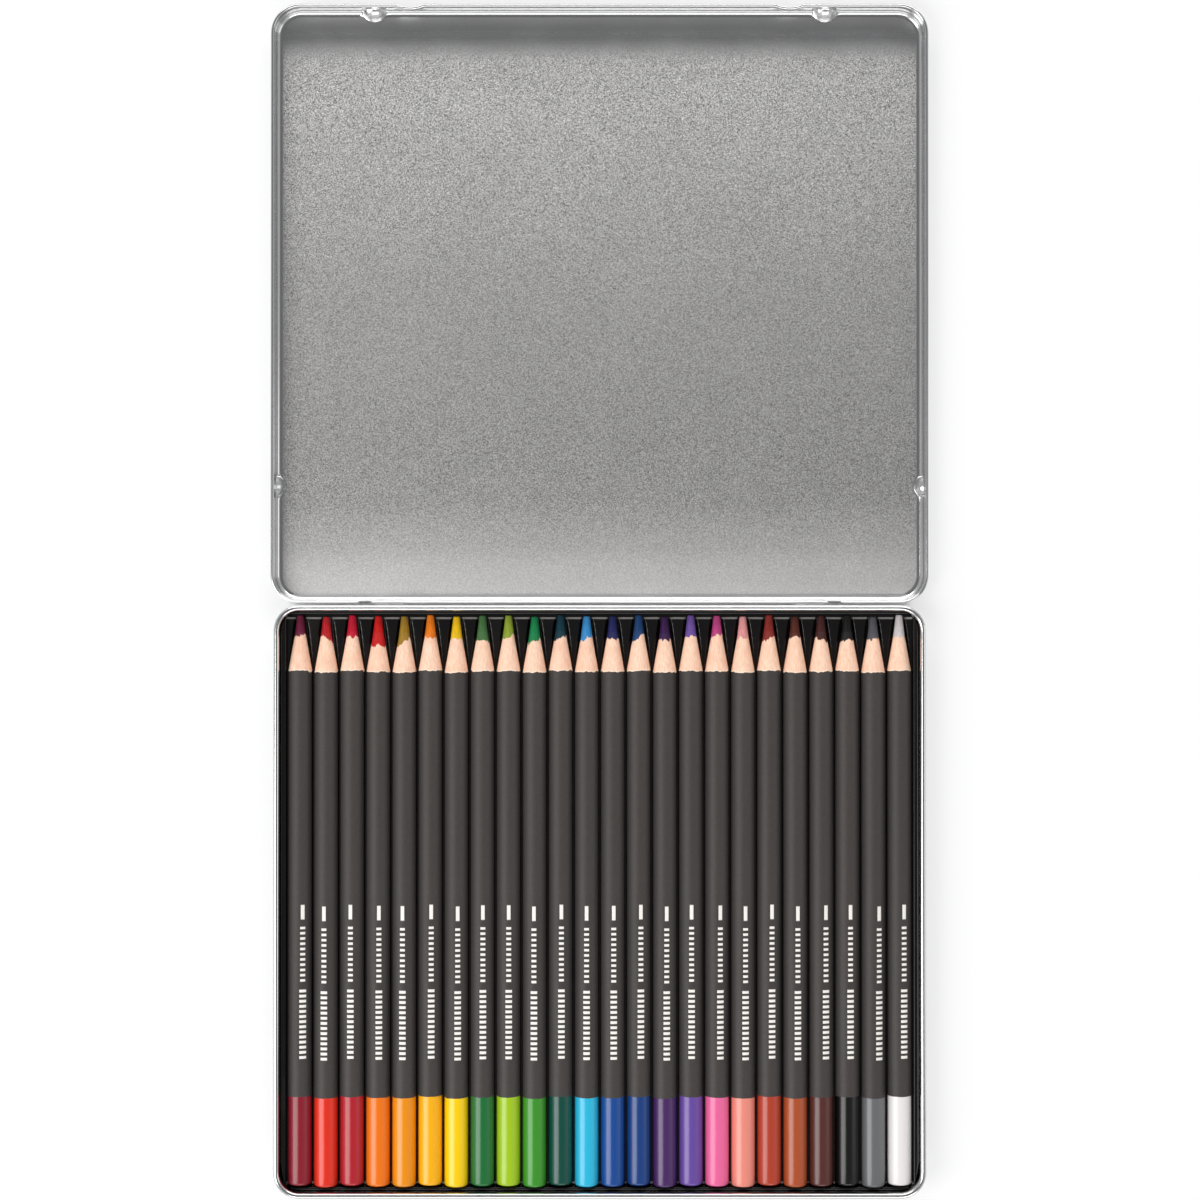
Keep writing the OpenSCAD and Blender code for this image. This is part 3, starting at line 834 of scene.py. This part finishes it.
def press_stops(bm):
    """Presses the four stop dimples into the wall and plate, from outside."""
    side_y = HINGE_Y + STOP_FROM_HINGE
    wall_x = LID_W / 2 + STOP_OUT
    front_y = LID_Y + LID_L / 2 + STOP_OUT
    balls = []
    for side in (-1, 1):
        balls.append((Vector((side * STOP_X, front_y, STOP_RISE)), stop_ball(FRONT_GAP - LID_GAP)))
        balls.append((Vector((side * wall_x, side_y, STOP_RISE)), stop_ball(0.0)))
    skin = bm.verts.layers.float["skin"]
    rim = bm.verts.layers.float["rim"]
    for v in bm.verts:
        for middle, r in balls:
            away = v.co / MM - middle
            if away.length > r + 1:
                continue
            wanted = r - SHEET * v[skin]
            gap = away.length - wanted
            if gap < STOP_FILLET:
                push = wanted
                if gap >= -STOP_FILLET:
                    push += (gap + STOP_FILLET) ** 2 / (4 * STOP_FILLET)
                v.co = (middle + away.normalized() * push) * MM
                v[rim] = 1.0


def lid_slot(side):
    """Slot beside a hook, with the slanted cut through the rim at its outer end."""
    start = HOOK_X - SLOT_INNER
    end = HOOK_X + HOOK_W + SLOT_OPEN
    wall_y = HINGE_Y + LID_BEAD_R
    low = HINGE_Z - HOOK_OUT_R - SLOT_STUB
    xs = sorted((side * start, side * end))
    level = box_shape((xs[0], wall_y - 2 * LID_BEAD_R - 0.1, low), (xs[1], wall_y + 1, HINGE_Z - SLOT_STUB))
    outer = HOOK_X + HOOK_W + SLOT_INNER
    slant = [(outer, wall_y + 0.4), (end - SLOT_SLANT, wall_y + 0.4), (end, HINGE_Y - LID_BEAD_R / 3),
             (outer + SLOT_SLANT, HINGE_Y - LID_BEAD_R / 3)]
    return level, prism([(side * x, y) for x, y in slant], low, LID_DEPTH + 1)


def lid():
    """The lid: a drawn pan with a thin rolled rim, pressed dimples and dents, and slots for the hooks."""
    plate_steps = [0.35, 0.7, 1.05, 1.4, 1.8, 2.2, 2.8, 4.0]
    points, rims = wall_section(LID_DEPTH, LID_FILLET, LID_BEAD_R, plate_steps, 12, 0.7)
    source = outline_object("lid_section", points, rims)
    skins = [1.0 if k > len(points) * 0.6 else 0.0 for k in range(len(points))]
    source.data.attributes.new("skin", "FLOAT", "POINT").data.foreach_set("value", skins)
    piece = grow(source, SWEEP, {
        "Width": LID_W * MM, "Length": LID_L * MM, "Corner radius": LID_CORNER * MM,
        "Station": 0.9 * MM, "Middle": (0.0, LID_Y * MM, 0.0), "Material": TINPLATE_LID,
    }, "lid_shell")
    edit(piece, fill_plates, press_stops, press_dents)
    for side in (-1, 1):
        for cutter in lid_slot(side):
            cut(piece, cutter)
    smooth(piece)
    return piece


def pencil_point_r(along):
    """Radius of the sharpened point at a distance from the tip."""
    if along <= CORE_BARE:
        return TIP_R + (CORE_R - TIP_R) * along / CORE_BARE
    return CORE_R + (PENCIL_R - CORE_R) * (along - CORE_BARE) / (POINT_LEN - CORE_BARE)


def core_outline():
    """Radius and distance from the tip along the bare core, down to where its casing hides it."""
    points = [(0.0, 0.0)] + arc(TIP_R - TIP_ROUND, TIP_ROUND, TIP_ROUND, -90, -8, 5)
    points += [(pencil_point_r(s), s) for s in (1.0, 3.0, CASING_START - 0.4, CASING_START)]
    return points + [(0.0, CASING_START + 0.2)]


def casing_outline():
    """Radius and distance from the tip along the casing. It starts nearer to the tip than on the solid,
    so that the jagged end of the bare core can be painted on it."""
    points = [
        (0.0, CASING_START + 0.5),
        (pencil_point_r(CASING_START) - 0.02, CASING_START + 0.02),
        (pencil_point_r(CASING_START + 0.1), CASING_START + 0.1),
    ]
    points += [(pencil_point_r(s), s) for s in (CORE_BARE, 9.0, 12.0, 15.0, POINT_LEN - 0.1)]
    points += [(PENCIL_R - 0.004, POINT_LEN), (PENCIL_R, POINT_LEN + 0.1)]
    points += [(PENCIL_R, s) for s in (18.0, 40.0, 80.0, 120.0, 146.0, 148.0, 170.0)]
    points += arc(PENCIL_R - END_ROUND, PENCIL_LEN - END_ROUND, END_ROUND, 0, 90, 8)
    return points + [(1.2, PENCIL_LEN), (0.0, PENCIL_LEN)]


def pencil(number):
    """One pencil in its groove: the casing and the core, each turned from its outline."""
    place = (number - (PENCILS + 1) / 2) * PITCH
    tip = PENCIL_LEN / 2 + STAGGER * math.sin(math.radians(number * STAGGER_TURN))
    dip, wax = PAINTS[number - 1]
    shared = {
        "Sides": PENCIL_SIDES, "Row place": (place * MM, tip * MM, PENCIL_Z * MM), "Seed": number * SEED_STEP,
        "Dip paint": colour(dip), "Core paint": colour(wax),
        "Marks": (*CORE_EDGES[number - 1], PRINT_PLACES[number - 1]),
    }
    body = f"pencil_{number:02d}"
    for part, outline, material in (("casing", casing_outline(), CASING), ("core", core_outline(), CORE_WAX)):
        source = outline_object(f"{body}_{part}_outline", [(r, -along) for r, along in outline])
        piece = grow(source, TURNING, {**shared, "Material": material}, f"{body}_turned_{part}")
        edit(piece)
        smooth(piece, 32)
        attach(piece, body)
        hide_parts(f"{body}_{part}")


def groove_r(y):
    """Radius of a groove, which narrows along the pencil's point."""
    point_y = PENCIL_LEN / 2 - POINT_LEN
    if y <= point_y:
        return GROOVE_R
    share = min(1.0, (y - point_y) / (RIDGE_END - point_y))
    return GROOVE_R + (GROOVE_TIP_R - GROOVE_R) * share


def smooth_min(a, b, blur):
    """The lower of two heights, with a rounded corner where they meet."""
    share = max(blur - abs(a - b), 0.0) / blur
    return min(a, b) - share * share * blur / 4


def ledge_height(past):
    """Height of the raised edge, past mm beyond where it begins."""
    t = min(max(1.0 - past / LEDGE_ROUND, 0.0), 1.0)
    return LEDGE_Z - LEDGE_ROUND * (1 - math.sqrt(1 - t * t))


def ridge_height(y):
    """Height of the ridges and of the channels that cross them at both ends."""
    if y < FRONT_LEDGE:
        return LEDGE_Z
    if y > RIDGE_END or y < FRONT_LEDGE + FRONT_CHANNEL:
        return CHANNEL_Z
    if y > 0:
        return RIDGE_Z - max(RIDGE_BEVEL - (RIDGE_END - y), 0.0) * REAR_BEVEL_SLOPE
    return RIDGE_Z - max(RIDGE_BEVEL - (y - FRONT_LEDGE - FRONT_CHANNEL), 0.0) * FRONT_BEVEL_SLOPE


def tray_height(x, y):
    """Height of the tray's top skin: its raised edge, its ridges and its grooves."""
    if abs(x) > ROW_HALF:
        return ledge_height(abs(x) - ROW_HALF)
    if y > GROOVE_END or y < GROOVE_START:
        return ledge_height(y - GROOVE_END if y > 0 else GROOVE_START - y)
    number = min(PENCILS, max(1, round(x / PITCH + (PENCILS + 1) / 2)))
    away = abs(x - (number - (PENCILS + 1) / 2) * PITCH)
    r = groove_r(y)
    if away < r:
        trough = PENCIL_Z - math.sqrt(max(r * r - away * away, 0.0))
    else:
        trough = PENCIL_Z + (away - r) * TROUGH_WALL_SLOPE
    return smooth_min(ridge_height(y), trough, RIDGE_ROUND)


def past_corner(x, y):
    """How far a point of the tray lies past the middles of its rounded corners."""
    over_x = abs(x) - (TRAY_W / 2 - TRAY_CORNER)
    over_y = abs(y) - (TRAY_L / 2 - TRAY_CORNER)
    return Vector((max(over_x, 0.0), max(over_y, 0.0)))


def drawn_to_corner(x, y):
    """A point of the square field, drawn in to the tray's rounded corner where it lies beyond."""
    over = past_corner(x, y)
    if over.x <= 0 or over.y <= 0 or over.length <= TRAY_CORNER:
        return x, y
    over = over.normalized() * TRAY_CORNER
    return (math.copysign(TRAY_W / 2 - TRAY_CORNER + over.x, x),
            math.copysign(TRAY_L / 2 - TRAY_CORNER + over.y, y))


def on_ridge_end(y):
    """Whether a place along the tray lies on the bevelled ends of the ridges, which carry a painted
    highlight.
    """
    rear = RIDGE_END - RIDGE_BEVEL < y < RIDGE_END
    front_end = FRONT_LEDGE + FRONT_CHANNEL
    return rear or front_end < y < front_end + RIDGE_BEVEL


def tray_columns():
    """Places across the tray, close together where the skin curves."""
    places = set()
    for number in range(1, PENCILS + 1):
        middle = (number - (PENCILS + 1) / 2) * PITCH
        places.update(round(middle + side * step, 3) for step in GROOVE_STEPS for side in (-1, 1))
    places = {x for x in places if abs(x) < ROW_HALF - 0.1}
    edge = [ROW_HALF + step for step in (-0.05, -0.001, *LEDGE_STEPS)]
    places.update(side * x for x in (*edge, *TRAY_SIDES) for side in (-1, 1))
    return sorted(places)


def tray_rows():
    """Places along the tray, from its front edge to the rear."""
    places = {RIDGE_END - step for step in RIDGE_STEPS}
    places.update(FRONT_LEDGE + FRONT_CHANNEL + step for step in RIDGE_STEPS)
    places.update(GROOVE_END + step for step in (-0.02, 0.001, *LEDGE_STEPS[1:]))
    places.update(GROOVE_START - step for step in (0.001, *LEDGE_STEPS[1:]))
    places.update(TRAY_ROWS)
    places.update((-TRAY_L / 2, TRAY_L / 2))
    return sorted(places)


def fold_skirt(bm):
    """Folds the field's edge down to the base's floor, and in at the foot, clear of the base's fillet."""
    bmesh.ops.remove_doubles(bm, verts=bm.verts, dist=0.002 * MM)
    for height, inward in ((SHEET + BASE_FILLET, 0.0), (SHEET + 0.02, BASE_FILLET - TRAY_GAP)):
        edges = [e for e in bm.edges if e.is_boundary]
        grown = bmesh.ops.extrude_edge_only(bm, edges=edges)["geom"]
        for v in (g for g in grown if isinstance(g, bmesh.types.BMVert)):
            out = past_corner(v.co.x / MM, v.co.y / MM).normalized()
            v.co.x -= math.copysign(out.x * inward * MM, v.co.x)
            v.co.y -= math.copysign(out.y * inward * MM, v.co.y)
            v.co.z = height * MM
    fill_plates(bm)


def tray():
    """The moulded tray as one height field, with its edge folded down to the floor."""
    xs = tray_columns()
    ys = tray_rows()
    points = []
    for y in ys:
        for x in xs:
            px, py = drawn_to_corner(x, y)
            from_edge = min(TRAY_W / 2 - abs(px), TRAY_L / 2 - abs(py))
            drop = EDGE_DROP if from_edge < 0.01 else 0.0
            points.append((px, py, tray_height(px, py) - drop))
    wide = len(xs)
    faces = [(r * wide + c, r * wide + c + 1, (r + 1) * wide + c + 1, (r + 1) * wide + c)
             for r in range(len(ys) - 1) for c in range(wide - 1)]
    piece = mesh_object("moulded_tray", points, faces)
    # Marks the ends of the ridges for their painted highlight.
    ridge_highlights = [float(z > RIDGE_Z - 0.4 and on_ridge_end(y) and abs(x) < ROW_HALF) for x, y, z in points]
    piece.data.attributes.new("ridge_end_highlight", "FLOAT", "POINT").data.foreach_set("value", ridge_highlights)
    edit(piece, fold_skirt)
    smooth(piece, 50)
    piece.data.materials.append(TRAY_PLASTIC)
    return piece


# Stage

TABLE_GLOW = 0.55
TABLE_REACH = 4000


def clear_of_hinge(tree):
    """1 wherever the table glows, which is everywhere but in the crack under the hinge."""
    place = axes_of(tree, place_of(tree))
    beside = soft_step(tree, calc(tree, "ABSOLUTE", place[0]), 94 * MM, 97 * MM)
    before = soft_step(tree, place[1], (HINGE_Y - 1.0) * MM, (HINGE_Y - 0.6) * MM, 1.0, 0.0)
    behind = soft_step(tree, place[1], (HINGE_Y + 1.0) * MM, (HINGE_Y + 1.4) * MM)
    return larger(tree, beside, larger(tree, before, behind))


def make_floor():
    """Plain white table that keeps the shadow, white in the distance and open to a look from below."""
    made, tree, shader = start_material("plain_table")
    shader.inputs["Base Color"].default_value = colour("f4f4f4")
    shader.inputs["Roughness"].default_value = 0.9
    shader.inputs["Specular IOR Level"].default_value = 0.1
    light = put(tree, "ShaderNodeEmission", {"Color": (1.0, 1.0, 1.0, 1.0), "Strength": 1.0})
    rays = tree.nodes.new("ShaderNodeLightPath").outputs
    mirrored = larger(tree, rays["Is Glossy Ray"], rays["Is Transmission Ray"])
    seen = larger(tree, rays["Is Camera Ray"], mirrored)
    glow = times(tree, seen, times(tree, clear_of_hinge(tree), TABLE_GLOW))
    distance = put(tree, "ShaderNodeVectorMath", {0: place_of(tree)}, operation="LENGTH").outputs["Value"]
    far = times(tree, rays["Is Camera Ray"], soft_step(tree, distance, 0.4, 1.2))
    mixed = put(tree, "ShaderNodeMixShader", {
        0: larger(tree, glow, far), 1: shader.outputs[0], 2: light.outputs[0]})
    from_below = tree.nodes.new("ShaderNodeNewGeometry").outputs["Backfacing"]
    clear = tree.nodes.new("ShaderNodeBsdfTransparent").outputs[0]
    one_way = put(tree, "ShaderNodeMixShader", {0: from_below, 1: mixed.outputs[0], 2: clear})
    tree.links.new(one_way.outputs[0], tree.nodes["Material Output"].inputs[0])
    corners = [(x * TABLE_REACH, y * TABLE_REACH, 0) for x, y in ((-1, -1), (1, -1), (1, 1), (-1, 1))]
    floor = mesh_object("table", corners, [(0, 1, 2, 3)])
    floor.location.z = -0.02 * MM
    floor.data.materials.append(made)


def lamp(name, place, target, width, length, power):
    """One softbox, turned towards its target."""
    data = bpy.data.lights.new(name, "AREA")
    data.shape = "RECTANGLE"
    data.size = width
    data.size_y = length
    data.energy = power
    made = bpy.data.objects.new(name, data)
    made.location = place
    made.rotation_euler = (Vector(target) - Vector(place)).to_track_quat("-Z", "Y").to_euler()
    bpy.context.scene.collection.objects.link(made)


def make_lights():
    """Softboxes on three sides and a weak one to fill the fourth."""
    middle = (0.0, 0.09, 0.0)
    lamp("softbox_left", (-0.82, -0.30, 0.90), middle, 0.6, 1.0, 8.0)
    lamp("softbox_back", (0.0, 1.15, 0.78), (0.0, 0.18, 0.0), 1.5, 0.4, 8.0)
    lamp("softbox_front", (0.1, -1.05, 0.85), middle, 1.3, 0.5, 6.5)
    lamp("fill_right", (1.2, 0.0, 0.6), middle, 0.6, 0.8, 1.2)


def make_studio():
    """Light from all round, darker overhead, and white wherever the camera looks past the table."""
    world = bpy.data.worlds.new("studio")
    world.use_nodes = True
    tree = world.node_tree
    generated = tree.nodes.new("ShaderNodeTexCoord").outputs["Generated"]
    look = axes_of(tree, generated)
    ahead = soft_step(tree, calc(tree, "ABSOLUTE", look[1]), 0.45, 0.85)
    round_about = mix_colour(tree, ahead, colour("c9cacb"), colour("f4f4f4"))
    walls = mix_colour(tree, soft_step(tree, look[2], 0.6, 0.95), round_about, colour("828384"))
    from_camera = tree.nodes.new("ShaderNodeLightPath").outputs["Is Camera Ray"]
    backdrop = mix_colour(tree, from_camera, walls, (1.2, 1.2, 1.2, 1.0))
    tree.links.new(backdrop, tree.nodes["Background"].inputs[0])
    tree.nodes["Background"].inputs[1].default_value = 0.85
    bpy.context.scene.world = world


def make_camera():
    """Straight above the open tin, as in the photograph, leaning a little forward."""
    lean = math.radians(0.37)
    height = 0.7396
    target = Vector((0.0001, 0.09215, 0.0))
    data = bpy.data.cameras.new("camera")
    data.sensor_width = 36.0
    data.lens = 71.73
    camera = bpy.data.objects.new("camera", data)
    camera.location = target + Vector((0.0, -math.sin(lean), math.cos(lean))) * height
    camera.rotation_euler = (lean, 0.0, 0.0)
    bpy.context.scene.collection.objects.link(camera)
    bpy.context.scene.camera = camera


make_camera()
make_lights()
make_studio()
make_floor()
SWEEP = sweep_tree()
TURNING = turning_tree()

base_shell = base_pan()
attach(base_shell, "base")
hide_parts("base_pan")
for side in (-1, 1):
    made_hook = hook(side)
    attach(made_hook, "base")
lid_shell = lid()
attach(lid_shell, "lid")
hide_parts("lid")
moulded = tray()
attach(moulded, "base")
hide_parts("tray")
for pencil_number in range(1, PENCILS + 1):
    pencil(pencil_number)

bpy.context.scene.view_settings.view_transform = "Standard"
